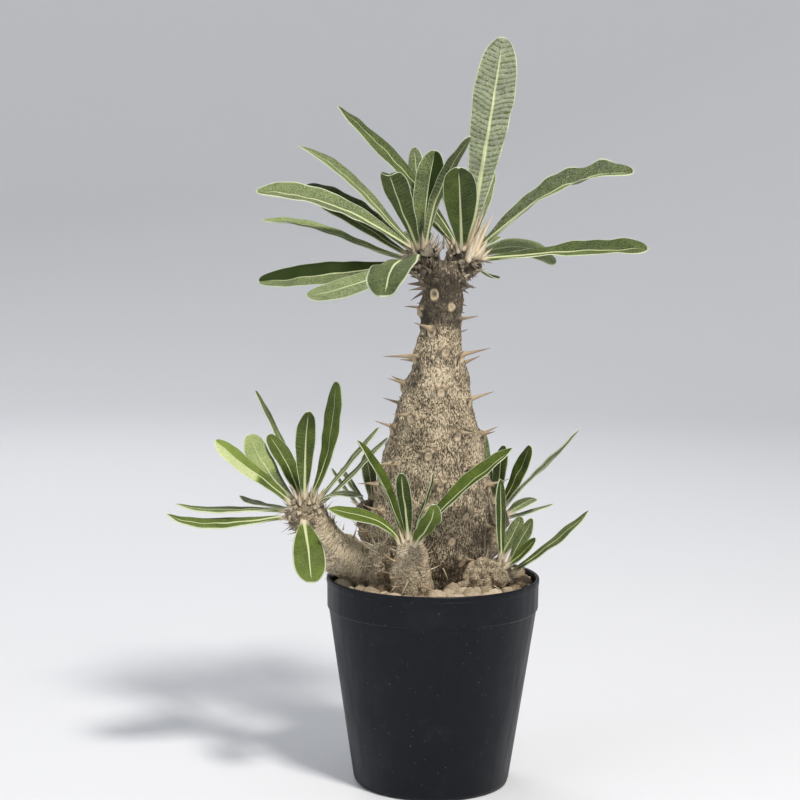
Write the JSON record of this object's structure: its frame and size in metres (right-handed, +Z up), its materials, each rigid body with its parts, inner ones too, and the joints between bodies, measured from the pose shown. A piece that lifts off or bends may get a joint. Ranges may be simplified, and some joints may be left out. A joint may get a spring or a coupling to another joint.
{
  "type": "potted succulent plant",
  "caption": "Swollen spiny-trunked succulent with strap leaves, growing with low offsets in a round plastic pot of granular soil.",
  "frame": {"origin": "on the pot's axis, at the middle of the hub under its floor, level with the foot ring that it stands on", "axes": "+Z up along the pot's axis and the trunk; -Y is the side that the picture shows; +X is to its right"},
  "size_m": [0.2334, 0.1229, 0.3644],
  "materials": {
    "pot_plastic": "satin",
    "soil": "matte",
    "bark": "matte",
    "leaf": "matte"
  },
  "bodies": {
    "root": {"pot": "pot_plastic", "soil": "soil", "stem": "bark", "crown_left_leaf_01": "leaf", "crown_left_leaf_02": "leaf", "crown_left_leaf_03": "leaf", "crown_left_leaf_04": "leaf", "crown_left_leaf_05": "leaf", "crown_left_leaf_06": "leaf", "crown_left_leaf_07": "leaf", "crown_left_leaf_08": "leaf", "crown_left_leaf_09": "leaf", "crown_left_leaf_10": "leaf", "crown_left_leaf_11": "leaf", "crown_left_leaf_12": "leaf", "crown_left_leaf_13": "leaf", "crown_right_leaf_01": "leaf", "crown_right_leaf_02": "leaf", "crown_right_leaf_03": "leaf", "crown_right_leaf_04": "leaf", "crown_right_leaf_05": "leaf", "crown_right_leaf_06": "leaf", "crown_right_leaf_07": "leaf", "crown_right_leaf_08": "leaf", "crown_right_leaf_09": "leaf", "crown_right_leaf_10": "leaf", "crown_right_leaf_11": "leaf", "left_leaf_01": "leaf", "left_leaf_02": "leaf", "left_leaf_03": "leaf", "left_leaf_04": "leaf", "left_leaf_05": "leaf", "left_leaf_06": "leaf", "left_leaf_07": "leaf", "left_leaf_08": "leaf", "left_leaf_09": "leaf", "left_leaf_10": "leaf", "left_leaf_11": "leaf", "left_leaf_12": "leaf", "left_leaf_13": "leaf", "front_leaf_01": "leaf", "front_leaf_02": "leaf", "front_leaf_03": "leaf", "front_leaf_04": "leaf", "front_leaf_05": "leaf", "front_leaf_06": "leaf", "right_leaf_01": "leaf", "right_leaf_02": "leaf", "right_leaf_03": "leaf", "right_leaf_04": "leaf", "right_leaf_05": "leaf", "rear_right_leaf_01": "leaf", "rear_right_leaf_02": "leaf", "rear_right_leaf_03": "leaf", "rear_right_leaf_04": "leaf", "rear_right_leaf_05": "leaf", "rear_right_leaf_06": "leaf", "rear_left_leaf_01": "leaf", "rear_left_leaf_02": "leaf", "rear_left_leaf_03": "leaf"}
  },
  "joints": []
}
